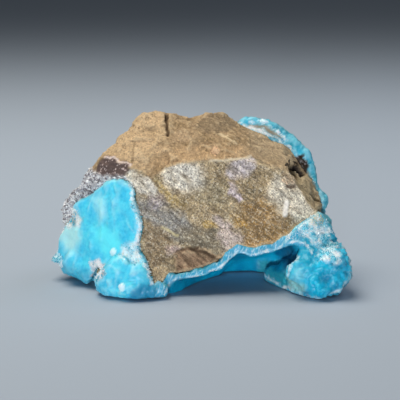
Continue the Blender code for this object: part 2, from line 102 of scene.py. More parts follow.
# Patches outside the grains, told the same way. One with no colour here has a finish of its own.
PLAIN_PATCHES = {
    "sandy_shoulder": ([(-42, 53), (-34, 60), (-26, 68), (-18, 72), (-15, 68), (-14.5, 60),
                        (-18, 52), (-22, 47.5), (-30, 50.8)], 2.5, "c2a780", 0.65),
    "light_tan": ([(-10.1, 55.3), (-0.1, 57), (10, 56.8), (17, 55), (13, 52), (-0.1, 51.5),
                   (-9, 50.5), (-14, 49.5), (-19, 47.5), (-21, 51), (-15, 54.5)], 1.6, "b3946b", 0.6),
    "soft_spot": ([(4.7, 56.5), (7.9, 55.5), (7.2, 53.4), (4.9, 54.2)], 0.6, "cfa983", 0.8),
    "dark_hollow": ([(1.5, 58.7), (6.4, 57.9), (5.1, 56.3), (1.5, 56.8)], 0.7, "7f6748", 0.7),
    "olive_block": ([(-1.7, 63.9), (2.4, 66.2), (9.2, 69), (15, 69), (15.9, 61.6), (9, 60.8),
                     (2.4, 61.2)], 0.8, "7d6c51", 0.85),
    "grey_face": ([(20.9, 61), (26, 59.4), (33.3, 56.3), (42.1, 48.7), (36.7, 47), (28.3, 49.4),
                   (21.4, 52.4)], 2, "a08f72", 0.65),
    "brown_side": ([(36.5, 47.4), (43, 47.5), (46.4, 42), (50.5, 34), (52, 26), (49, 28),
                    (46.5, 31.3), (43.2, 35), (40.4, 38.8), (38.1, 42.9)], 0.7, "948768", 0.9),
    "side_lump": ([(47, 34.5), (49, 36), (50.8, 34), (50.4, 29.5), (48.2, 30)], 0.7, "54482f", 0.8),
    "old_chip": ([(-10.2, 16.9), (-6, 18.3), (-1.3, 18.9), (3.9, 17.6), (9.6, 16.2),
                  (13.6, 16.6), (8.6, 11), (5.8, 9), (-2.9, 8), (-9, 8)], 0.6, "", 0.95),
    "chip_shadow": ([(-3, 17.8), (1, 16.6), (6, 14.4), (8.5, 13), (5, 12.6), (0, 14.6)], 1.2,
                    "4a3824", 0.7),
    "chip_light": ([(0.6, 18.6), (5, 18.2), (13, 16.4), (11.5, 13.8), (8.6, 13.8), (4.7, 15.8)], 0.5,
                   "a88b6c", 0.85),
    # The undercut is sunk into the rock and painted near black, as its shadow.
    "shadowed_undercut": ([(34.8, 47.6), (38.4, 47.4), (41, 47.6), (43, 49.8), (45.6, 48.8), (45.6, 44.2),
                  (43.4, 42.2), (41, 42.6), (39.2, 44), (37, 45.6)], 0.4, "", 1),
    "manganese": ([(-42.5, 46.8), (-40.4, 50.6), (-38.2, 52.2), (-34.8, 52), (-32.3, 50.5),
                   (-28.1, 49.6), (-27.8, 48.2), (-30.1, 45.6), (-33.9, 44.2), (-36.9, 44.4),
                   (-40.6, 45)], 0.5, "", 1),
    "druse": ([(-45, 46), (-41.2, 45.4), (-36.9, 44.6), (-33.9, 44.6), (-29, 46), (-27, 42),
               (-36.6, 42), (-42.6, 37), (-50.8, 31), (-52, 25), (-60, 20), (-60, 32),
               (-52, 40)], 1.2, "", 1),
}

# Cracks and seams: a path in (x, z), half its width, its colour and share, and its depth, which
# is below zero for a seam that stands out.
CRACKS = {
    "open_crack": ([(-13.6, 70), (-13.7, 63.4), (-13.2, 60.6)], 0.55, "46331c", 0.9, 1.6),
    "left_crack": ([(-26.4, 57.8), (-26.9, 55), (-27.2, 51)], 0.3, "5f4a28", 0.55, 0.4),
    # The chip's crease and top edge are shallow grooves, painted dark as the shadow under the chip's upper
    # edge.
    "chip_crease_shadow": ([(-3.5, 18.2), (0.5, 17), (5.5, 15), (10, 12.8)], 0.6, "3a2a18", 0.75, 1),
    "chip_top_shadow": ([(-9, 17.6), (-5.5, 18.2), (-1, 18.6)], 0.45, "4a3824", 0.7, 0.6),
    "slip_line": ([(-19.6, 45.2), (-16.5, 41.6), (-12.5, 38.6), (-8.4, 35.4), (-3, 31.6)], 0.3,
                  "6a5836", 0.45, 0.25),
    "light_seam": ([(7.7, 60.1), (11, 58.9), (14.6, 56.8)], 0.4, "d6c29c", 0.8, -0.3),
    "white_rim": ([(-38.7, 52.1), (-36.5, 51.6), (-34.4, 52.2), (-32.3, 50.6), (-29.8, 50.3),
                   (-27.7, 49.7)], 0.22, "e6d6cc", 0.9, -0.3),
    "white_knob": ([(34.6, 35.2), (34, 33), (33.4, 30.6)], 0.9, "ece9e0", 0.8, -0.4),
    "dark_mark": ([(35, 40.9), (36.6, 40.4), (38, 40.8)], 0.6, "4c3a2c", 0.8, 0.3),
    "pale_edge": ([(4, 51.4), (12, 51.7), (20, 52.3)], 0.3, "d6cbb0", 0.7, -0.1),
    "pale_vein": ([(-15.3, 26.4), (-12.3, 25.2), (-9, 23.2)], 0.35, "c9bd8e", 0.8, -0.1),
}


def plain_copy(node, name):
    """A copy of a CAD node's mesh with its loose triangles merged."""
    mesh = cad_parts[node].data.copy()
    mesh.name = name
    bm = bmesh.new()
    bm.from_mesh(mesh)
    bmesh.ops.remove_doubles(bm, verts=bm.verts, dist=0.001 * MM)
    bm.to_mesh(mesh)
    bm.free()
    obj = bpy.data.objects.new(name, mesh)
    bpy.context.scene.collection.objects.link(obj)
    return obj


def keep_result(obj, modifier):
    """Makes a modifier's result the object's mesh, and removes the modifier."""
    graph = bpy.context.evaluated_depsgraph_get()
    mesh = bpy.data.meshes.new_from_object(obj.evaluated_get(graph))
    obj.modifiers.remove(modifier)
    old, obj.data = obj.data, mesh
    bpy.data.meshes.remove(old)
    mesh.name = obj.name


def even_out(obj, voxel, rounds):
    """Remeshes a piece evenly, and smooths it without letting its edges shrink."""
    remesh = obj.modifiers.new("Remesh", "REMESH")
    remesh.mode = "VOXEL"
    remesh.voxel_size = voxel * MM
    keep_result(obj, remesh)
    for factor in (0.5, -0.52) * rounds:
        smooth = obj.modifiers.new("Smooth", "SMOOTH")
        smooth.factor = factor
        keep_result(obj, smooth)


def points_of(mesh):
    """Places in millimetres and normals of a mesh's points, as two arrays."""
    places = np.empty(len(mesh.vertices) * 3)
    mesh.vertices.foreach_get("co", places)
    normals = np.empty(len(mesh.vertices) * 3)
    mesh.vertex_normals.foreach_get("vector", normals)
    return places.reshape(-1, 3) / MM, normals.reshape(-1, 3)


def put_back(mesh, places):
    """Moves a mesh's points to new places in millimetres."""
    mesh.vertices.foreach_set("co", (places * MM).ravel())
    mesh.update()


def shifted(places, seed):
    """The places as vectors, moved by a step of the seed's own, so that patterns don't match."""
    step = Vector((seed * 3.7, seed * 1.9, seed * 5.3))
    return [Vector(place) + step for place in places]


def rough(places, size, seed, stretch=(1, 1, 1)):
    """Smooth noise from -1 to 1, whose waves are about size millimetres times stretch long."""
    scaled = places / (np.array(stretch) * size)
    return np.array([noise.noise(place) for place in shifted(scaled, seed)])


def cells(places, size, seed):
    """Rounded cells about size millimetres across: 1 on top of each, 0 in the seams."""
    near = np.array([noise.voronoi(place)[0][:2] for place in shifted(places / size, seed)])
    return np.sqrt(np.clip(1 - (near[:, 0] / np.maximum(near[:, 1], 1e-6)) ** 2, 0, 1))


def facets(places, size, seed):
    """Flat facets about size millimetres across, each tilted its own way."""
    heights = []
    for place in shifted(places / size, seed):
        middle = noise.voronoi(place)[1][0]
        tilt = noise.cell_vector(middle * 7.3) * 2 - Vector((1, 1, 1))
        heights.append((place - middle).dot(tilt))
    return np.array(heights)


def fade(values, low, high):
    """0 below low, 1 above high, and an even curve between them."""
    share = np.clip((values - low) / (high - low), 0, 1)
    return share * share * (3 - 2 * share)


def along(places, path):
    """Distance in (x, z) from each place to a path."""
    flat = places[:, [0, 2]]
    best = np.full(len(flat), 1e9)
    for start, end in zip(path, path[1:]):
        start, run = np.array(start), np.array(end) - np.array(start)
        share = np.clip(((flat - start) @ run) / max(run @ run, 1e-9), 0, 1)
        best = np.minimum(best, np.linalg.norm(flat - start - share[:, None] * run, axis=1))
    return best


def zone(places, outline, soft):
    """How far each place is inside an outline in (x, z), from 0 to 1, seen from the front."""
    x, z = places[:, 0], places[:, 2]
    inside = np.zeros(len(places), bool)
    for (x0, z0), (x1, z1) in zip(outline, outline[1:] + outline[:1]):
        crosses = (z0 > z) != (z1 > z)
        inside ^= crosses & (x < (x1 - x0) * (z - z0) / (z1 - z0 + 1e-12) + x0)
    edge = along(places, outline + outline[:1])
    return fade(np.where(inside, edge, -edge), -soft, soft)


def store(mesh, name, values):
    """Stores one number for each point, for the material to read."""
    attribute = mesh.attributes.new(name, "FLOAT", "POINT")
    attribute.data.foreach_set("value", np.asarray(values, np.float32))


def eased(mesh, places, rounds, share=1.0):
    """A mesh's points, each drawn some rounds towards the middle of its neighbours."""
    ends = np.empty(len(mesh.edges) * 2, np.int32)
    mesh.edges.foreach_get("vertices", ends)
    one, two = ends.reshape(-1, 2).T
    near = np.bincount(ends, minlength=len(places))
    for _ in range(rounds):
        middle = [
            (np.bincount(one, line[two], len(line)) + np.bincount(two, line[one], len(line))) / near
            for line in places.T
        ]
        places = places + (np.stack(middle, axis=1) - places) * np.reshape(share, (-1, 1))
    return places


def bulge(mesh, places, normals, rounds):
    """How far each point stands out from the eased surface, in millimetres."""
    return np.einsum("ij,ij->i", places - eased(mesh, places, rounds), normals)


def surface_of(node):
    """The surface of a CAD node, to measure distances to."""
    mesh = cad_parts[node].data
    return BVHTree.FromPolygons([v.co for v in mesh.vertices], [p.vertices for p in mesh.polygons])


def settle(places):
    """Lowers the front sill of the arch where it sags, and thins the tip of the left foot."""
    x, y, z = places.T
    share = fade(x, -15, -8) * fade(-x, -14, -7) * fade(-y, 14, 20) * fade(-z, -24, -14)
    places[:, 2] -= share * 1.7
    tip = fade(-x, 56.3, 59.5) * fade(-z, -14, -12)
    places[:, 2] += tip * (9.3 - places[:, 2]) * 0.45


host_rock = plain_copy("host_rock", "Host_rock")
even_out(host_rock, ROCK_MESH, 3)
rock_at, rock_out = points_of(host_rock.data)
settle(rock_at)

# How much of each patch lies on each point. Their edges wobble, and the stains are blotchy.
wobble = rough(rock_at, 5, 1)[:, None] * np.array([1.5, 0, 1.0])
wobble += rough(rock_at, 1.6, 2)[:, None] * np.array([0.8, 0, 0.8])
loose = rock_at + wobble
steady = rock_at + wobble * 0.35
edge_x, edge_z = np.array(BREAK_EDGE).T
below = np.interp(rock_at[:, 0], edge_x, edge_z) - rock_at[:, 2] + rough(rock_at, 1.3, 3) * 0.5
in_front = fade(-rock_out[:, 1], -0.25, 0.05)
granular = fade(below, -0.5, 0.4) * in_front
granular = np.maximum(granular, (1 - in_front) * fade(rough(rock_at, 14, 4), -0.15, 0.2))
dip = np.array([math.cos(STREAK_DIP), 0, -math.sin(STREAK_DIP)])
rise = np.array([math.sin(STREAK_DIP), 0, math.cos(STREAK_DIP)])
turned = np.stack([rock_at @ dip, rock_at[:, 1], rock_at @ rise], axis=1)
blotches = [rough(turned, 2.4, seed, (2.2, 1, 1)) for seed in (31, 32, 33)]
on_rock = {}
for turn, (name, (outline, soft, _, share)) in enumerate(BREAK_STAINS.items()):
    patchy = np.clip(1 + 0.9 * blotches[turn % 3], 0, 1.2)
    on_rock[name] = np.clip(zone(loose, outline, soft) * patchy, 0, 1) * in_front * share
for name, (outline, soft, _, share) in PLAIN_PATCHES.items():
    on_rock[name] = zone(loose, outline, soft) * in_front * share
for name, (path, width, _, share, _) in CRACKS.items():
    on_rock[name] = fade(width - along(steady, path), -0.35, 0.35) * in_front * share
for name in ("brown_side", "old_chip", "shadowed_undercut", "side_lump"):
    granular *= 1 - on_rock[name]
on_rock["granular"] = granular

# Its relief: grains on the fresh break, steps and facets on the old one, and lumps of druse.
grains = cells(rock_at, 1.3, 5) * 0.12 + rough(turned, 1.9, 7, (2.2, 1, 1)) * 0.2
grains += rough(turned, 5.5, 8, (2, 1, 1)) * 0.35 - 0.1
bedding = (turned[:, 2] + rock_at[:, 1] * 0.5) / 3.1 + rough(rock_at, 6, 12) * 0.9
steps = fade(bedding % 1, 0.0, 0.25) - bedding % 1
hackle = rough(rock_at, 2.6, 9, (2.2, 1, 0.8)) * 0.18 + rough(rock_at, 1.1, 10) * 0.12 + steps * 0.3
hackle += facets(rock_at, 5.5, 46) * 0.5 + facets(rock_at, 2.4, 47) * 0.2
druse_lumps = cells(rock_at, 2.6, 11) * 1.1 + cells(rock_at, 1.3, 13) * 0.4 - 0.3
height = hackle * (1 - granular) + grains * granular
height += druse_lumps * (on_rock["druse"] + on_rock["manganese"] * 0.45)
chip_ribs = rough(turned, 2.4, 14, (3, 1, 1)) * 0.2 + rough(rock_at, 3.5, 15) * 0.35
height += chip_ribs * (on_rock["old_chip"] + on_rock["brown_side"])
height -= on_rock["shadowed_undercut"] * 3.2 - on_rock["side_lump"] * 0.9 + on_rock["olive_block"] * 0.3
for name, (*_, depth) in CRACKS.items():
    height -= on_rock[name] * depth

# Nothing is raised or sunk where the crust covers it.
LOOK = 3.0  # mm, as far as the crust is looked for
skin = surface_of("hemimorphite_crust")
cover = [skin.find_nearest(Vector(place) * MM, LOOK * MM)[3] or LOOK * MM for place in rock_at]
height *= fade(np.array(cover) / MM, 0.3, 1.6)
rock_at = rock_at + rock_out * height[:, None]
put_back(host_rock.data, rock_at)
stands = bulge(host_rock.data, rock_at, rock_out, 12)
on_rock["edges"] = fade(stands, 0.04, 0.3)
# Its hollows, which the material paints darker, as shade.
on_rock["hollows"] = fade(-stands, 0.05, 0.4)
for name, values in on_rock.items():
    store(host_rock.data, name, values)


def linear(code):
    """A colour from its sRGB hex code."""
    parts = [int(code[i:i + 2], 16) / 255 for i in (0, 2, 4)]
    return (*(c / 12.92 if c <= 0.04045 else ((c + 0.055) / 1.055) ** 2.4 for c in parts), 1)


def new_material(name, settings):
    """A material, its node tree, and its Principled BSDF shader with its settings."""
    material = bpy.data.materials.new(name)
    material.use_nodes = True
    shader = material.node_tree.nodes["Principled BSDF"]
    for key, value in settings.items():
        shader.inputs[key].default_value = value
    return material, material.node_tree, shader


def add(tree, kind, inputs=None, out=0, **settings):
    """Adds a node, with its settings, and its inputs set or linked, and gives one output."""
    node = tree.nodes.new(kind)
    for key, value in settings.items():
        setattr(node, key, value)
    for key, value in (inputs or {}).items():
        if isinstance(value, bpy.types.NodeSocket):
            tree.links.new(value, node.inputs[key])
        else:
            node.inputs[key].default_value = value
    return node.outputs[out]


# Altered porphyry, broken with a hammer: matt, with cream feldspar and dark iron-stained pits.
rock_material, tree, shader = new_material("altered_host_rock", {"Roughness": 0.85})
place = add(tree, "ShaderNodeTexCoord", out="Object")
mask = {name: add(tree, "ShaderNodeAttribute", out="Fac", attribute_name=name) for name in on_rock}
IN_COLOUR = {"out": 2, "data_type": "RGBA"}  # what makes a Mix node mix colours

# Its patterns. A pattern's scale is 1000 over its size in millimetres, because places are in metres.
cloudy, streaky, clumps, fine = (
    add(tree, "ShaderNodeTexNoise", {"Vector": place, "Scale": 1000 / size, "Detail": detail})
    for size, detail in ((8, 4.0), (4.5, 4.0), (2, 2.0), (1.1, 4.0))
)
turned_place = add(tree, "ShaderNodeMapping", {
    "Vector": place, "Rotation": (0, STREAK_DIP, 0), "Scale": [side * MM for side in STREAK],
}, vector_type="TEXTURE")
slips = add(tree, "ShaderNodeTexNoise", {"Vector": turned_place, "Scale": 1.0, "Detail": 3.0})
grain_cells = add(tree, "ShaderNodeTexVoronoi", {"Vector": place, "Scale": 1000 / GRAIN}).node.outputs
sorts = add(tree, "ShaderNodeSeparateColor", {0: grain_cells["Color"]})
for_cream, for_pits, for_shine = sorts.node.outputs

# The old break: tan, cloudy, with fine dark specks and faint slip lines. The chip is browner.
patches = add(tree, "ShaderNodeMapRange", {0: cloudy, 1: 0.35, 2: 0.65})
tan = add(tree, "ShaderNodeMix", {0: patches, 6: linear("87714f"), 7: linear("a78e6c")}, **IN_COLOUR)
chip_shade = add(tree, "ShaderNodeMapRange", {0: slips, 1: 0.36, 2: 0.6})
chip = add(tree, "ShaderNodeMix", {0: chip_shade, 6: linear("5a4634"), 7: linear("9d8064")}, **IN_COLOUR)
fine_light = add(tree, "ShaderNodeMapRange", {0: fine, 1: 0.5, 2: 0.8, 4: 0.6})
slip_dark = add(tree, "ShaderNodeMapRange", {0: slips, 1: 0.48, 2: 0.3, 3: 0.0, 4: 0.3})
layers = [(fine_light, linear("c4a87e")), (slip_dark, linear("6f5a3c"))]
for name, (*_, code, _) in PLAIN_PATCHES.items():
    if name == "old_chip":
        layers.append((mask[name], chip))
    elif code:
        layers.append((mask[name], linear(code)))
for share, over in layers:
    tan = add(tree, "ShaderNodeMix", {0: share, 6: tan, 7: over}, **IN_COLOUR)
sand = add(tree, "ShaderNodeMapRange", {0: for_shine, 3: 0.8, 4: 1.22})
tan = add(tree, "ShaderNodeMix", {0: 1.0, 6: tan, 7: sand}, **IN_COLOUR, blend_type="MULTIPLY")
few_pits = add(tree, "ShaderNodeMapRange", {0: for_pits, 1: 0.84, 2: 1.0, 3: 0.0, 4: 0.65})
tan = add(tree, "ShaderNodeMix", {0: few_pits, 6: tan, 7: linear("5a472c")}, **IN_COLOUR)

# The fresh break: streaks of ochre and grey, under stains. Its grains each have a brightness of
# their own: most are near the stain's colour, a few are cream or dark.
ochre = add(tree, "ShaderNodeMapRange", {0: streaky, 1: 0.35, 2: 0.65})
broken = add(tree, "ShaderNodeMix", {0: ochre, 6: linear("8a7959"), 7: linear("a79676")}, **IN_COLOUR)
for name, (*_, code, _) in BREAK_STAINS.items():
    broken = add(tree, "ShaderNodeMix", {0: mask[name], 6: broken, 7: linear(code)}, **IN_COLOUR)
streaks = add(tree, "ShaderNodeMapRange", {0: slips, 1: 0.3, 2: 0.7, 3: 0.6, 4: 1.38})
shine = add(tree, "ShaderNodeMapRange", {0: for_shine, 3: 0.64, 4: 1.34})
clumps = add(tree, "ShaderNodeMapRange", {0: clumps, 1: 0.3, 2: 0.7, 3: 0.72, 4: 1.28})
for light in (streaks, shine, clumps):
    broken = add(tree, "ShaderNodeMix", {0: 1.0, 6: broken, 7: light}, **IN_COLOUR, blend_type="MULTIPLY")
thick = add(tree, "ShaderNodeMapRange", {0: slips, 1: 0.35, 2: 0.65, 3: 0.35, 4: 1.0})
cream = add(tree, "ShaderNodeMapRange", {0: for_cream, 1: 0.62, 2: 1.0, 3: 0.0, 4: 0.6})
cream = add(tree, "ShaderNodeMath", {0: cream, 1: thick}, operation="MULTIPLY")
pits = add(tree, "ShaderNodeMapRange", {0: for_pits, 1: 0.6, 2: 1.0, 3: 0.0, 4: 0.68})
for share, code in ((cream, "e2dbc4"), (pits, "46382a")):
    broken = add(tree, "ShaderNodeMix", {0: share, 6: broken, 7: linear(code)}, **IN_COLOUR)

# The manganese patch is dark with white specks, and the druse is grey, white and nearly black.
specks = add(tree, "ShaderNodeMapRange", {0: for_shine, 1: 0.84, 2: 1.0, 4: 0.9})
manganese = add(tree, "ShaderNodeMix", {0: specks, 6: linear("584842"), 7: linear("d6c3bb")}, **IN_COLOUR)
white = add(tree, "ShaderNodeMapRange", {0: fine, 1: 0.5, 2: 0.62})
druse = add(tree, "ShaderNodeMix", {0: white, 6: linear("aaaeb4"), 7: linear("f2f5f5")}, **IN_COLOUR)
druse = add(tree, "ShaderNodeMix", {0: pits, 6: druse, 7: linear("3f3a38")}, **IN_COLOUR)

# Its edges are rubbed pale, its hollows are painted darker as shade, and the cracks are drawn over all of
# it.
rubbed = add(tree, "ShaderNodeMapRange", {0: mask["edges"], 3: 0.0, 4: 0.35})
# Painted shade: the rock is darkened where its surface sinks.
hollow_shade = add(tree, "ShaderNodeMapRange", {0: mask["hollows"], 3: 0.0, 4: 0.3})
layers = [
    (mask["granular"], broken), (rubbed, linear("cbb691")), (hollow_shade, linear("4f3f2b")),
    # The undercut's near black is painted shadow.
    (mask["manganese"], manganese), (mask["druse"], druse), (mask["shadowed_undercut"], linear("241b13")),
]
# The cracks' colours; those of the chip's crease and top edge are painted shadow.
layers += [(mask[name], linear(code)) for name, (*_, code, _, _) in CRACKS.items()]
colour = tan
for share, over in layers:
    colour = add(tree, "ShaderNodeMix", {0: share, 6: colour, 7: over}, **IN_COLOUR)
worn = add(tree, "ShaderNodeMapRange", {0: fine, 1: 0.3, 2: 0.7, 3: 0.94, 4: 1.34})
colour = add(tree, "ShaderNodeMix", {0: 1.0, 6: colour, 7: worn}, **IN_COLOUR, blend_type="MULTIPLY")
tree.links.new(colour, shader.inputs["Base Color"])
relief = add(tree, "ShaderNodeMath", {0: fine, 1: grain_cells["Distance"]}, operation="SUBTRACT")
bump = add(tree, "ShaderNodeBump", {"Height": relief, "Distance": 0.35 * MM, "Strength": 0.8})
tree.links.new(bump, shader.inputs["Normal"])

host_rock.data.materials.clear()
host_rock.data.materials.append(rock_material)
host_rock.data.shade_smooth()
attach(host_rock, "root")
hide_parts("host_rock")

# ----------------------------------------
# Hemimorphite crust
# Fibrous hemimorphite that grew outwards from the rock in one skin. It ends in round lumps where
# it grew free, and in white sugary breaks where it was struck off.
# ----------------------------------------
CRUST_MESH = 0.66  # mm between the points of its surface
SUGAR_GRAIN = 0.8  # mm across; real ones are finer, and are drawn as coarse as shows
FIBRE = (0.7, 3, 2.2)  # mm: how wide, deep and long a bundle of fibres is
FIBRE_LEAN = 0.35

# Round growths of the feet that are joined to its solid: each one's place and half sizes in mm.
LOBES = [
    ((38.9, -26, 10.4), (5.8, 4.6, 5.4)), ((51.6, -22.6, 10.4), (8.4, 8.4, 8.8)),
    ((45, -27, 5.6), (7.6, 6, 5.4)), ((41, -11.5, 14), (4.2, 4, 4.4)),
    ((42.2, -20, 14.2), (4.6, 5.4, 4.4)), ((53, -20.5, 15), (4.4, 4.4, 4.4)),
    ((39.4, -15, 4.6), (6, 8, 4.8)), ((33.8, -6, 3), (5.6, 7, 4.2)),
    ((-13.5, -18, 2.6), (5, 5, 5.2)), ((-11, -14.5, 2.4), (5.4, 5.4, 5.2)),
    ((-8.8, -11, 2.2), (5.4, 5.4, 5)), ((-6.6, -7.5, 2), (5.4, 5.4, 4.8)),
    ((-4.2, -4, 1.8), (5.2, 5.2, 4.6)), ((-1.4, -0.5, 1.6), (5, 5, 4.4)),
    ((1.8, 2.6, 1.4), (4.6, 4.6, 4.2)), ((5.2, 5.4, 1.2), (4.2, 4.2, 4)),
]

# The hollow: the edge of its roof at the front in (x, z), from the left foot to the right one, and
# in millimetres its middle in x, its mouth in y and how deep it runs in. It narrows inwards.
ARCH = [
    (-13.6, 3), (-10.9, 6.5), (-4, 7.2), (1.8, 8.6), (7.6, 11.2), (11.5, 14.5), (15.3, 17.5),
    (17.9, 16.3), (21.9, 15.8), (25.9, 17.1), (29.9, 17.5), (32.6, 19), (35.3, 21),
    (38.4, 21.4), (41.1, 20.6), (42.6, 19), (44.6, 16.4),
]
HOLLOW_MIDDLE = 17.9
HOLLOW_FRONT = -33.4
HOLLOW_DEPTH = 43.0
# Where the right foot's inner side stands on the table: places in y, and x at each of them.
FOOT_LINE = ([-31, -28, -24, -18, -12, -6, -2, 4], [46.3, 43, 38.7, 35.6, 31.6, 27.9, 26.2, 25.9])

# Zones of its colour, and two of painted shade: an outline in (x, z), how far its edge fades, its colour
# and its share. The two with no colour here are tinted cloudily, further down.
CRUST_ZONES = {
    "pad": ([(-66, 34), (-52, 36), (-36, 46), (-24, 42), (-22, 20), (-17, 0), (-66, -4)], 1, "", 1),
    "right_lobes": ([(26, 14), (36, 18), (44, 18), (52, 22), (66, 22), (66, -2), (24, -2)], 4, "", 1),
    "pale_left": ([(-56.5, 24), (-49, 24.5), (-48.2, 19.2), (-50.8, 14), (-55.5, 13), (-58.5, 17)],
                  2.5, "c2f2ee", 0.75),
    "lower_left": ([(-62, 9), (-52, 9.5), (-43.5, 7), (-43.5, 1), (-62, -1)], 1.6, "37a9c9", 0.6),
    "cloud": ([(-43.9, 35.5), (-40.4, 38.4), (-37.4, 35.7), (-36.9, 30.5), (-39.9, 26.9),
               (-41.6, 30.5)], 2.2, "b5ecf0", 0.55),
    "bright_pad": ([(-43, 24), (-38, 27), (-33, 24), (-31, 18), (-36, 14.5), (-42, 17)], 2.4, "6cf2fc",
                   0.7),
    "foot_dark": ([(-27, 4.6), (-23.1, 7), (-19.6, 6.1), (-16, 3.4), (-17, -2), (-28, -2)], 1.2,
                  "1b84ad", 0.85),
    "green_slab": ([(25, 6), (30.4, 6.4), (35, 8), (35.5, 3), (38.5, 1.5), (33, 0), (25, 0)], 1,
                   "3aa3a8", 0.6),
    "pale_slab": ([(34, 7.5), (38.5, 8), (41, 5), (40, 1.5), (35, 2)], 1.2, "a4dcd4", 0.75),
    "rim_rock": ([(21, 62.6), (25.9, 61.8), (30.1, 60.4), (34.5, 57.6), (34, 56.6), (29, 58.6),
                  (25, 60.4), (20.5, 61.4)], 0.5, "9c8767", 0.85),
    "rim_shade": ([(39, 50.4), (42.8, 49.8), (44.6, 48), (45.4, 44), (44.6, 41), (42, 41.5), (39, 46)],
                  0.4, "2c231b", 1),
    "rim_brown": ([(44.2, 41.5), (45.4, 44), (47.7, 39), (48.9, 35), (47.5, 33), (46, 36)], 0.6,
                  "7d7157", 0.9),
    "pale_lobe": ([(34, 8), (33.4, 12), (36, 16), (40, 17), (43, 15), (44, 11), (42, 7), (38, 6)], 1.6,
                  "3cc0de", 0.75),
    "lobe_heart": ([(35.5, 8.5), (36, 12), (39, 13), (40.5, 10), (38.5, 7.5)], 1.6, "8fdce8", 0.6),
    # A pocket left of the front lobe, painted dark blue as shade.
    "pocket_shade": ([(31.5, 10.5), (32, 18), (35.6, 20), (38, 18.5), (40, 14), (41, 9), (35, 8.5)], 1.2,
                  "044c78", 0.8),
    "teal_bump": ([(37, 16.5), (37.5, 19.5), (41, 21.5), (44.6, 19), (45, 14.5), (42, 13)], 1,
                  "12a2c2", 0.8),
}

# Zones that are broken across their fibres, white and sugary: the same, with two colours.
SUGAR_ZONES = {
    "gap": ([(-58, 25.5), (-54, 30.2), (-51.5, 30.4), (-47.5, 28), (-48.8, 24), (-53.7, 22.6),
             (-58, 22.6)], 0.9, "b9b0a0", "f1efe6", 0.9),
    "bare_patch": ([(-44.1, 11.4), (-41.1, 12.6), (-38, 11.6), (-36.8, 10.2), (-40.4, 6.4),
                    (-44, 5)], 0.5, "b9a9a9", "efe6e4", 0.95),
    "white_patch": ([(-31.8, 18.7), (-28.5, 21.4), (-24.5, 21.5), (-22.5, 16.2), (-24.7, 13.6),
                     (-28.5, 14.6), (-31.1, 16.2)], 1.2, "a9dfe8", "f7faf7", 0.7),
    "pale_break": ([(34, 22), (38, 26.5), (45, 30), (51, 27), (55, 19), (54, 15), (47, 15.5),
                    (45.5, 19), (41.6, 22)], 1.4, "7adbec", "f6fdfc", 0.9),
    "rim_inner": ([(18.4, 63.2), (25.1, 60.3), (31.9, 56.9), (38.5, 52), (37.8, 50.9), (31.2, 55.8),
                   (24.6, 59.2), (18, 61.9)], 0.5, "c4c6b6", "f8f5ec", 0.9),
    "left_tip": ([(-62.5, 11.5), (-57.8, 11), (-56.6, 8.4), (-57.6, 5.4), (-62.5, 5)], 0.8, "9adbe2",
                 "f7fbf8", 0.85),
    "cream_knob": ([(44.3, 30.6), (50, 29.8), (49.4, 26.2), (43.3, 27)], 0.7, "bdb58f", "efe8cd", 0.9),
}

# White broken rims of the right foot: a path in (x, z), its width and share, and how far back in y
# it is drawn. Then the strip along the top right edge, and the pad's right edge and folds.
FOOT_RIMS = [
    ([(36, 1.2), (41.1, 0.8), (45, 0.4), (50.1, 1.4), (54.5, 4.4), (58.2, 7.2), (59.6, 11.1),
      (58.9, 15.4), (57.5, 18.5)], 1.5, 0.7, -8),
    ([(26.8, 2.6), (29.8, 1.7), (32.8, 1.2), (36, 1.2)], 1.3, 0.9, -2),
    ([(38.5, 15.6), (35.6, 14.4), (34.2, 12.2), (34, 9.6), (35, 7)], 0.9, 0.7, -16),
]
RIM_STRIP = [(20.5, 63.9), (25.9, 63.3), (29.3, 61.8), (33, 59.6), (36.5, 56.4)]
PAD_EDGE = [(-27.6, 42.5), (-25.9, 35.4), (-24.5, 31.7), (-23.5, 27.6), (-24.9, 19.3),
            (-21.4, 14.2), (-19.8, 10.5), (-19, 6)]
PAD_FOLDS = [
    [(-38.7, 35.2), (-39.4, 30.2), (-39.1, 25.4), (-39.8, 20)],
    [(-43.7, 19.5), (-44.1, 14.7), (-43.6, 11)],
    [(-35.3, 39.9), (-34.8, 34.3), (-36.1, 27.5)],
]

# Round knobs on the left foot, painted white as highlights, each as its place and radius in millimetres.
GLINTING_KNOBS = [
    ((-34.3, -19.9, 16.6), 1.7),
    ((-30.3, -31.6, 5.6), 1.5),
    ((-26.1, -24.5, 15.2), 1.3),
]

crust = plain_copy("hemimorphite_crust", "Hemimorphite_crust")
bm = bmesh.new()
bm.from_mesh(crust.data)
for spot, half_sizes in LOBES:
    shape = Matrix.LocRotScale(Vector(spot) * MM, None, Vector(half_sizes) * MM)
    bmesh.ops.create_icosphere(bm, subdivisions=3, radius=1, matrix=shape)
bmesh.ops.bisect_plane(bm, geom=bm.verts[:] + bm.edges[:] + bm.faces[:], plane_co=(0, 0, 0),
                       plane_no=(0, 0, -1), clear_outer=True)
bmesh.ops.holes_fill(bm, edges=[edge for edge in bm.edges if edge.is_boundary])
bm.to_mesh(crust.data)
bm.free()
even_out(crust, CRUST_MESH, 6)
crust_at, crust_out = points_of(crust.data)
settle(crust_at)
x, y, z = crust_at.T

# Its underside comes down to the table behind its feet.
low = fade(-z, -5.5, -1.5) * fade(y, -22, -15)
crust_at[:, 2] = np.maximum(z - 1.4 * low, np.minimum(z, 0.15))

# The right foot's inner side runs back and to the left where it stands on the table.
beyond = np.interp(y, FOOT_LINE[0], FOOT_LINE[1]) - x
pressed = fade(beyond, 0, 0.5) * fade(-beyond, -9, -6) * fade(-z, -10, -3) * fade(-y, -2, 2)
crust_at[:, 0] += pressed * beyond * 0.8

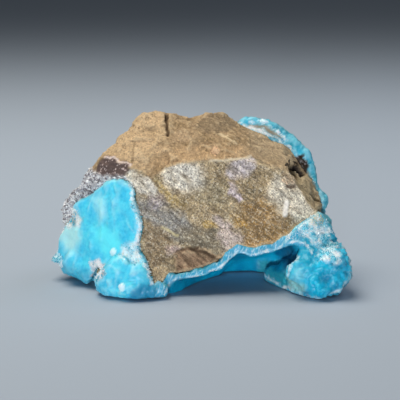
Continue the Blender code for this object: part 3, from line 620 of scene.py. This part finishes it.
# The hollow's wall is smooth, and the right foot's growths run into each other.
inward = np.clip((y - HOLLOW_FRONT) / HOLLOW_DEPTH, 0, 0.999)
shrink = np.sqrt(1 - inward ** 2)
arch_x, arch_z = np.array(ARCH).T
roof = np.interp(HOLLOW_MIDDLE + (x - HOLLOW_MIDDLE) / shrink, arch_x, arch_z, 0, 0) * shrink
from_arch = along(crust_at, ARCH)
inside = fade(-y, -17, -13)
side_wall = fade(x, -17, -14) * fade(-x, -26, -22) * fade(-z, -8, -6) * fade(y, -29, -26) * inside
within = np.maximum(fade(roof - z, -1.0, 0.5) * fade(from_arch, 1.2, 3.0), side_wall)
right_foot = fade(x, 19, 23) * fade(-y, -10, -4) * fade(-z, -19, -16) * fade(from_arch, 1.5, 3.5)
crust_at = eased(crust.data, crust_at, 50, np.maximum(within, right_foot) * 0.5)
put_back(crust.data, crust_at)
crust_at, crust_out = points_of(crust.data)
x, y, z = crust_at.T

# Its inner side lies on the rock, hidden, and is pushed just into it.
stone = surface_of("host_rock")
hits = [stone.find_nearest(Vector(place) * MM) for place in crust_at]
rock_gap = np.array([hit[3] for hit in hits]) / MM
to_rock = np.array([hit[0] for hit in hits]) / MM - crust_at
facing = np.einsum("ij,ij->i", to_rock, crust_out) / np.maximum(rock_gap, 1e-6)
hidden = fade(facing, 0.3, 0.8) * fade(-rock_gap, -1.6, -0.8)

# The inside of the hollow, the fibrous band above its mouth, and the white lip between them.
in_hollow = np.maximum(fade(roof - z, -1.3, -0.5) * fade(-y, -17, -13), side_wall) * (1 - hidden)
in_hollow *= 1 - fade(-crust_out[:, 1], 0.75, 0.95) * (1 - side_wall)
in_hollow *= 1 - fade(-y, 15, 19) * fade(x, 31, 34)
band = fade(-from_arch, -4.4, -3.6) * fade(-crust_out[:, 1], 0.2, 0.5) * fade(-y, 6, 8) * (x < 40)
band *= fade(z - roof, -0.8, 0.2)
lip = fade(-np.abs(from_arch + rough(crust_at, 1.5, 20) * 0.3), -0.7, -0.2) * fade(-y, 6, 8) * (x < 44)
lip *= 0.75 * fade(rough(crust_at, 2.2, 18), -0.5, 0.1) * fade(-crust_out[:, 1], 0.0, 0.4)

# Every zone is seen on what faces the front, but for the right foot and the painted shade deep in the
# hollow.
front = fade(-crust_out[:, 1], -0.2, 0.2)
left_front = fade(-crust_out[:, 1] - crust_out[:, 0] * 0.5, -0.1, 0.2)
loose = crust_at + rough(crust_at, 4, 21)[:, None] * np.array([1.2, 0, 1.2])
loose += rough(crust_at, 1.5, 19)[:, None] * np.array([0.6, 0, 0.6])
on_crust = {"in_hollow": in_hollow, "band": band, "lip": lip}
shown = {"right_lobes": 1, "pocket_shade": fade(y, -22, -18) * fade(-y, -16, -12)}
for name, (outline, soft, *_, share) in {**CRUST_ZONES, **SUGAR_ZONES}.items():
    on_crust[name] = zone(loose, outline, soft) * share * shown.get(name, left_front)

# The broken edges: beside the rock, along the pad and the foot, and on the rim.
near_rock = fade(-rock_gap, -1.7, -0.8) * (1 - hidden) * (1 - band) * (1 - in_hollow)
near_rock *= 1 - 0.7 * fade(x, 41, 43) * fade(-z, -50, -46)
for name in ("rim_shade", "rim_brown", "cream_knob", "gap", "bare_patch"):
    near_rock *= 1 - on_crust[name]
pad_rim = fade(-along(loose, PAD_EDGE) + rough(crust_at, 1.1, 17) * 0.7, -1.2, -0.2) * front
near_rock *= fade(rough(crust_at, 1.8, 22), -0.6, 0.2)
on_crust["sugar_edge"] = np.maximum(near_rock, pad_rim) * 0.8
knobs = np.zeros(len(crust_at))
for spot, radius in GLINTING_KNOBS:
    far = np.linalg.norm(crust_at - np.array(spot), axis=1)
    knobs = np.maximum(knobs, np.sqrt(np.clip(1 - (far / radius) ** 2, 0, 1)))
on_crust["knobs"] = fade(knobs, 0.0, 0.5) * 0.9
on_crust["right_lobes"] *= fade(-y + rough(crust_at, 6, 42) * 4, -14, 2)
broken_up = rough(crust_at, 1.6, 35) * 0.6
on_crust["foot_rim"] = np.zeros(len(crust_at))
for path, width, share, back in FOOT_RIMS:
    rim = fade(broken_up - along(loose, path), -width, 0.2) * (y < back) * share
    on_crust["foot_rim"] = np.maximum(on_crust["foot_rim"], rim)
strip = fade(broken_up - along(loose, RIM_STRIP), -0.9, 0.2)
on_crust["rim_strip"] = strip * fade(y, 2, 6) * front * 0.9
folds = np.zeros(len(crust_at))
for fold in PAD_FOLDS:
    folds = np.maximum(folds, fade(-along(loose, fold), -1.4, 0) * front)

# Round lumps where it grew free, crags on the right foot, a smooth cloudy pad, and sugary breaks.
lump_big = cells(crust_at, 5.0, 24)
lump_small = cells(crust_at, 2.0, 25)
free = (1 - hidden) * (1 - in_hollow * 0.75)
right_share = on_crust["right_lobes"] * fade(-y, -2, 4)
lumps = (lump_big * 0.9 + lump_small * 0.5 - 0.5) * (1 - 0.75 * right_share)
craggy = rough(crust_at, 4.2, 34) * 0.9 + rough(crust_at, 1.8, 36) * 0.3 + cells(crust_at, 2.2, 37) * 0.2
craggy += facets(crust_at, 3.4, 48) * 0.8 + facets(crust_at, 1.9, 50) * 0.6
lumps += (craggy - 0.2) * right_share
flat_pad = rough(crust_at, 7, 26) * 0.6 + rough(crust_at, 2.4, 27) * 0.22
flat_pad += cells(crust_at, 1.7, 28) * 0.15
veins = fade(1 - np.abs(rough(crust_at, 7, 40, (1, 1, 2))), 0.88, 1.0)
veins *= fade(rough(crust_at, 8, 41), -0.3, 0.3)
flat_pad += folds * 0.5 + veins * 0.25
smooth_share = np.maximum(on_crust["pad"] * fade(z, 7, 11), band)
rubble = cells(crust_at, 1.4, 29) * 0.3 + rough(crust_at, 2.2, 30) * 0.25 + facets(crust_at, 2.4, 49) * 0.8
sugar_share = np.maximum.reduce([on_crust[name] for name in SUGAR_ZONES] + [on_crust["sugar_edge"]])
height = lumps * (1 - smooth_share) + flat_pad * smooth_share
height = height * (1 - sugar_share) + rubble * sugar_share
height = height * (1 - band) + band * rough(crust_at, 1.2, 31) * 0.2
height += knobs * 0.9
height *= free
height += hidden * (rock_gap + 0.25)
height *= np.where(height < 0, 1, fade(z, 0.2, 1.5))
moved = crust_at + crust_out * height[:, None]
moved[:, 2] = np.maximum(moved[:, 2], 0)
put_back(crust.data, moved)
stands = bulge(crust.data, moved, crust_out, 14)
# Its raised edges and its seams, which the material paints paler and darker: partly its fibre tips, partly
# painted glow and shade.
on_crust["edges"] = fade(stands, 0.1, 0.7) * (1 - hidden) * (1 - in_hollow)
on_crust["edges"] *= 0.35 + 0.65 * on_crust["pad"] - 0.25 * right_share
on_crust["hollows"] = fade(-stands, 0.08, 0.6) * (1 - hidden)
on_crust["veins"] = veins * front * (1 - in_hollow) * (1 - right_share * 0.8)
on_crust["crowns"] = (lump_small * 0.7 + lump_big * 0.3) * (1 - smooth_share) * (1 - in_hollow)
on_crust["crowns"] *= 1 - right_share
for name, values in on_crust.items():
    store(crust.data, name, values)

# Blades grow on what is sugary, clear of the table.
sugary = np.maximum.reduce([sugar_share, on_crust["rim_strip"], on_crust["lip"] * 0.4])
store(crust.data, "sugary", sugary * (1 - hidden) * (1 - in_hollow) * fade(z, 0.4, 1.2))

# Fibrous botryoidal hemimorphite, coloured by copper: waxy, a little translucent, white where
# its fibres are broken across.
crust_material, tree, shader = new_material("botryoidal_hemimorphite", {
    "Roughness": 0.36, "Specular IOR Level": 0.3, "Subsurface Weight": 0.25,
    "Subsurface Radius": (0.3, 0.8, 1.0), "Subsurface Scale": 1.2 * MM,
})
place = add(tree, "ShaderNodeTexCoord", out="Object")
mask = {name: add(tree, "ShaderNodeAttribute", out="Fac", attribute_name=name) for name in on_crust}

# Its patterns, by size in millimetres, and the sugary white of its breaks.
broad, cloud, clumps, fine = (
    add(tree, "ShaderNodeTexNoise", {"Vector": place, "Scale": 1000 / size, "Detail": detail})
    for size, detail in ((22, 2.0), (6, 3.0), (3.5, 5.0), (1.3, 3.0))
)
fibre_place = add(tree, "ShaderNodeMapping", {
    "Vector": place, "Rotation": (0, FIBRE_LEAN, 0), "Scale": [side * MM for side in FIBRE],
}, vector_type="TEXTURE")
fibres = add(tree, "ShaderNodeTexNoise", {"Vector": fibre_place, "Scale": 1.0, "Detail": 3.0})
sugar = add(tree, "ShaderNodeTexVoronoi", {"Vector": place, "Scale": 1000 / SUGAR_GRAIN}, out="Color")
sugar = add(tree, "ShaderNodeSeparateColor", {0: sugar})
sugar = add(tree, "ShaderNodeMath", {0: sugar, 1: 0.2, 2: clumps}, operation="MULTIPLY_ADD")
sugar_white = add(tree, "ShaderNodeMapRange", {0: sugar, 1: 0.45, 2: 0.7})

# Each part of it is clouded between a deep tint and a pale one.
cloud = add(tree, "ShaderNodeMapRange", {0: cloud, 1: 0.35, 2: 0.65})
tints = {}
# The hollow's tints are a brighter, more saturated blue than its coat, painted to stand in for light glowing
# through the crust.
for name, deep, pale in (
    ("coat", "0f87a0", "35a9bc"), ("pad", "40c6ea", "56dcf2"),
    ("right_lobes", "008bb2", "08c2e4"), ("in_hollow", "0290b8", "08aacd"),
):
    tints[name] = add(tree, "ShaderNodeMix", {0: cloud, 6: linear(deep), 7: linear(pale)}, **IN_COLOUR)
bluer = add(tree, "ShaderNodeMapRange", {0: broad, 1: 0.42, 2: 0.62, 4: 0.8})
crowns = add(tree, "ShaderNodeMapRange", {0: mask["crowns"], 1: 0.45, 2: 1.0, 4: 0.4})
fine_light = add(tree, "ShaderNodeMapRange", {0: fine, 1: 0.5, 2: 0.8, 4: 0.3})
fine_dark = add(tree, "ShaderNodeMapRange", {0: fine, 1: 0.5, 2: 0.25, 3: 0.0, 4: 0.35})
# Its raised edges are painted paler, partly as the white tips of its fibres and partly as light glowing
# through its thin rims. Its seams are painted darker, as shade.
edges = add(tree, "ShaderNodeMapRange", {0: mask["edges"], 3: 0.0, 4: 0.4})
pale_veins = add(tree, "ShaderNodeMapRange", {0: mask["veins"], 3: 0.0, 4: 0.22})
seam_shade = add(tree, "ShaderNodeMapRange", {0: mask["hollows"], 3: 0.0, 4: 0.22})
layers = [
    (bluer, linear("35b3d2")), (crowns, linear("86d3e0")), (mask["pad"], tints["pad"]),
    (mask["right_lobes"], tints["right_lobes"]), (fine_light, linear("98eef8")),
    (fine_dark, linear("0e96c0")), (edges, linear("bdf0f4")), (pale_veins, linear("c9f4f6")),
    (seam_shade, linear("0a86ae")), (mask["in_hollow"], tints["in_hollow"]),
]

# Over that lie its zones, then the sugary ones, the fibrous band, the white rims and the knobs, painted near
# white as highlights.
layers += [(mask[name], linear(code)) for name, (*_, code, _) in CRUST_ZONES.items() if code]
for name, (*_, code, pale, _) in SUGAR_ZONES.items():
    sugared = add(tree, "ShaderNodeMix", {0: sugar_white, 6: linear(code), 7: linear(pale)}, **IN_COLOUR)
    layers.append((mask[name], sugared))
fibres = add(tree, "ShaderNodeMapRange", {0: fibres, 1: 0.46, 2: 0.75, 4: 0.8})
fibrous = add(tree, "ShaderNodeMix", {0: fibres, 6: linear("41a6c8"), 7: linear("d8f0f2")}, **IN_COLOUR)
rims = add(tree, "ShaderNodeMix", {0: sugar_white, 6: linear("6cc9de"), 7: linear("f4faf8")}, **IN_COLOUR)
layers.append((mask["band"], fibrous))
layers += [(mask[name], rims) for name in ("lip", "sugar_edge", "foot_rim", "rim_strip")]
# Painted highlights on the knobs.
layers.append((mask["knobs"], linear("ddf8fa")))
colour = tints["coat"]
for share, over in layers:
    colour = add(tree, "ShaderNodeMix", {0: share, 6: colour, 7: over}, **IN_COLOUR)
tree.links.new(colour, shader.inputs["Base Color"])
bump = add(tree, "ShaderNodeBump", {"Height": fine, "Distance": 0.3 * MM, "Strength": 0.6})
tree.links.new(bump, shader.inputs["Normal"])

crust.data.materials.clear()
crust.data.materials.append(crust_material)
crust.data.shade_smooth()
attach(crust, "root")
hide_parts("hemimorphite_crust")

# ----------------------------------------
# Sugar crystals and druse grains
# Blunt hemimorphite blades on the crust's broken edges, and grey quartz grains beside the left
# foot's growth. Each one is grown onto what it stands on.
# ----------------------------------------
CRYSTAL_SIDES = 5
# Length and width in millimetres, and how many stand on a square millimetre where they are thick.
SUGAR_BLADES = (0.75, 0.22, 3.2)
DRUSE_GRAINS = (0.8, 0.38, 2.4)


def grown_crystals(name, ground, where, sizes, seed, material):
    """Small crystals that stand on a piece, thickest where its attribute is highest."""
    tree = bpy.data.node_groups.new(name, "GeometryNodeTree")
    length, width, per_mm2 = sizes
    settings = {
        "Crystal Length": ("NodeSocketFloat", length * MM), "Crystal Width": ("NodeSocketFloat", width * MM),
        "Sides": ("NodeSocketInt", CRYSTAL_SIDES), "Crystals per m2": ("NodeSocketFloat", per_mm2 / MM ** 2),
        "Seed": ("NodeSocketInt", seed), "Material": ("NodeSocketMaterial", material),
    }
    tree.interface.new_socket("Geometry", in_out="INPUT", socket_type="NodeSocketGeometry")
    keys = {}
    for label, (kind, value) in settings.items():
        keys[label] = tree.interface.new_socket(label, in_out="INPUT", socket_type=kind).identifier
    tree.interface.new_socket("Geometry", in_out="OUTPUT", socket_type="NodeSocketGeometry")
    given = tree.nodes.new("NodeGroupInput").outputs

    # Where they stand: out from the surface, each leaning and turned its own way.
    share = add(tree, "GeometryNodeInputNamedAttribute", {"Name": where}, data_type="FLOAT")
    density = add(tree, "ShaderNodeMath", {0: share, 1: given["Crystals per m2"]}, operation="MULTIPLY")
    spots = add(tree, "GeometryNodeDistributePointsOnFaces", {
        "Mesh": given["Geometry"], "Density": density, "Seed": given["Seed"],
    }).node.outputs
    tilt = add(tree, "FunctionNodeRandomValue", {
        "Min": (-0.6, -0.6, -3.1), "Max": (0.6, 0.6, 3.1), "Seed": given["Seed"],
    }, data_type="FLOAT_VECTOR")
    turn = add(tree, "FunctionNodeEulerToRotation", {0: tilt})
    standing = add(tree, "FunctionNodeRotateRotation", {
        0: spots["Rotation"], 1: turn,
    }, rotation_space="LOCAL")
    grown = add(tree, "FunctionNodeRandomValue", {2: 0.55, 3: 1.3, "Seed": given["Seed"]}, out=1)

    # One crystal: blunt, a third as wide at its tip, with its foot sunk into the surface.
    tip = add(tree, "ShaderNodeMath", {0: given["Crystal Width"], 1: 0.35}, operation="MULTIPLY")
    blade = add(tree, "GeometryNodeMeshCone", {
        "Vertices": given["Sides"], "Radius Top": tip,
        "Radius Bottom": given["Crystal Width"], "Depth": given["Crystal Length"],
    })
    foot = add(tree, "ShaderNodeMath", {0: given["Crystal Length"], 1: -0.3}, operation="MULTIPLY")
    sunk_by = add(tree, "ShaderNodeCombineXYZ", {"Z": foot})
    sunk = add(tree, "GeometryNodeTransform", {0: blade, "Translation": sunk_by})
    crystals = add(tree, "GeometryNodeInstanceOnPoints", {
        "Points": spots["Points"], "Instance": sunk, "Rotation": standing, "Scale": grown,
    })
    crystals = add(tree, "GeometryNodeRealizeInstances", {0: crystals})
    crystals = add(tree, "GeometryNodeSetShadeSmooth", {"Geometry": crystals, "Shade Smooth": False})
    crystals = add(tree, "GeometryNodeSetMaterial", {0: crystals, "Material": given["Material"]})
    tree.links.new(crystals, tree.nodes.new("NodeGroupOutput").inputs[0])

    obj = bpy.data.objects.new(name, ground.data.copy())
    bpy.context.scene.collection.objects.link(obj)
    modifier = obj.modifiers.new("Crystals", "NODES")
    modifier.node_group = tree
    for label, (kind, value) in settings.items():
        modifier[keys[label]] = value
    keep_result(obj, modifier)
    return obj


# Hemimorphite blades: colourless to pale blue, glassy, so they glint along the white edges.
blade_material, tree, shader = new_material("hemimorphite_blades", {"Roughness": 0.2, "IOR": 1.62})
place = add(tree, "ShaderNodeTexCoord", out="Object")
clumps = add(tree, "ShaderNodeTexNoise", {"Vector": place, "Scale": 1000 / 3.5, "Detail": 5.0})
white = add(tree, "ShaderNodeMapRange", {0: clumps, 1: 0.42, 2: 0.6})
colour = add(tree, "ShaderNodeMix", {0: white, 6: linear("45b6cf"), 7: linear("f6fbf9")}, **IN_COLOUR)
tree.links.new(colour, shader.inputs["Base Color"])

# Quartz druse: dull grey grains, some of them white and some stained nearly black.
grain_material, tree, shader = new_material("quartz_druse", {"Roughness": 0.35})
place = add(tree, "ShaderNodeTexCoord", out="Object")
sorts = add(tree, "ShaderNodeTexVoronoi", {"Vector": place, "Scale": 1000 / 1.0}, out="Color")
sorts = add(tree, "ShaderNodeSeparateColor", {0: sorts})
white = add(tree, "ShaderNodeMapRange", {0: sorts, 1: 0.25, 2: 0.8})
colour = add(tree, "ShaderNodeMix", {0: white, 6: linear("6f6a6d"), 7: linear("f0f0ee")}, **IN_COLOUR)
tree.links.new(colour, shader.inputs["Base Color"])

blades = grown_crystals("Sugar_crystals", crust, "sugary", SUGAR_BLADES, 3, blade_material)
druse_grains = grown_crystals("Druse_grains", host_rock, "druse", DRUSE_GRAINS, 7, grain_material)
for piece, slot in ((blades, "hemimorphite_crust"), (druse_grains, "host_rock")):
    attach(piece, "root")

# ----------------------------------------
# Table, lights and camera
# A plain pale table under soft studio light from the upper left, a low lamp in front that reaches
# into the hollow, and a camera that looks a little down.
# ----------------------------------------
TABLE_HALF = 10  # metres, so that its edge is out of sight
bm = bmesh.new()
bmesh.ops.create_grid(bm, x_segments=1, y_segments=1, size=TABLE_HALF)
floor_mesh = bpy.data.meshes.new("Table")
bm.to_mesh(floor_mesh)
bm.free()
floor = bpy.data.objects.new("Table", floor_mesh)
bpy.context.scene.collection.objects.link(floor)
# Pale board, quite matt, so that no lamp shows in it.
floor_material, tree, shader = new_material("pale_table", {
    "Base Color": linear("a9b6c4"), "Roughness": 0.9, "Specular IOR Level": 0.0,
})
floor.data.materials.append(floor_material)

world = bpy.data.worlds.new("Studio")
world.use_nodes = True
world.node_tree.nodes["Background"].inputs["Color"].default_value = linear("f2f4f8")
world.node_tree.nodes["Background"].inputs["Strength"].default_value = 0.11
bpy.context.scene.world = world

AIM = Vector((0, 0, 0.03))  # near the middle of the specimen, in metres


def aimed_light(kind, name, spot, power, code, **settings):
    """A light that points at the specimen, with its power in watts."""
    light = bpy.data.lights.new(name, kind)
    light.energy = power
    light.color = linear(code)[:3]
    for key, value in settings.items():
        setattr(light, key, value)
    obj = bpy.data.objects.new(name, light)
    obj.visible_camera = False
    obj.location = spot
    obj.rotation_euler = (AIM - obj.location).to_track_quat("-Z", "Y").to_euler()
    bpy.context.scene.collection.objects.link(obj)


aimed_light("AREA", "Key", (-0.3, 0.14, 0.95), 10.0, "fff6ea", shape="DISK", size=0.8)
aimed_light("AREA", "Fill", (0.6, 0.3, 0.8), 1.8, "eaf2ff", shape="DISK", size=0.6)
# The low lamp in front, in a cone no wider than the specimen needs.
aimed_light("SPOT", "Front", (-0.29, -2.5, 0.1), 305.0, "f6f7ff", shadow_soft_size=0.15,
            spot_size=math.radians(8), spot_blend=1.0)

EYE_ABOVE = math.radians(12)
EYE_AWAY = 0.45  # metres from what it looks at
HALF_WIDTH = 0.08  # metres in view to each side of that
SENSOR = 36
look_at = Vector((-0.0001, -0.0115, 0.036))
camera = bpy.data.objects.new("Camera", bpy.data.cameras.new("Camera"))
camera.location = look_at + Vector((0, -math.cos(EYE_ABOVE), math.sin(EYE_ABOVE))) * EYE_AWAY
camera.rotation_euler = (math.radians(90) - EYE_ABOVE, 0, 0)
camera.data.sensor_width = SENSOR
camera.data.lens = SENSOR / 2 * EYE_AWAY / HALF_WIDTH
camera.data.clip_start = 0.01
camera.data.clip_end = 30
bpy.context.scene.collection.objects.link(camera)
bpy.context.scene.camera = camera
bpy.context.scene.view_settings.view_transform = "Standard"
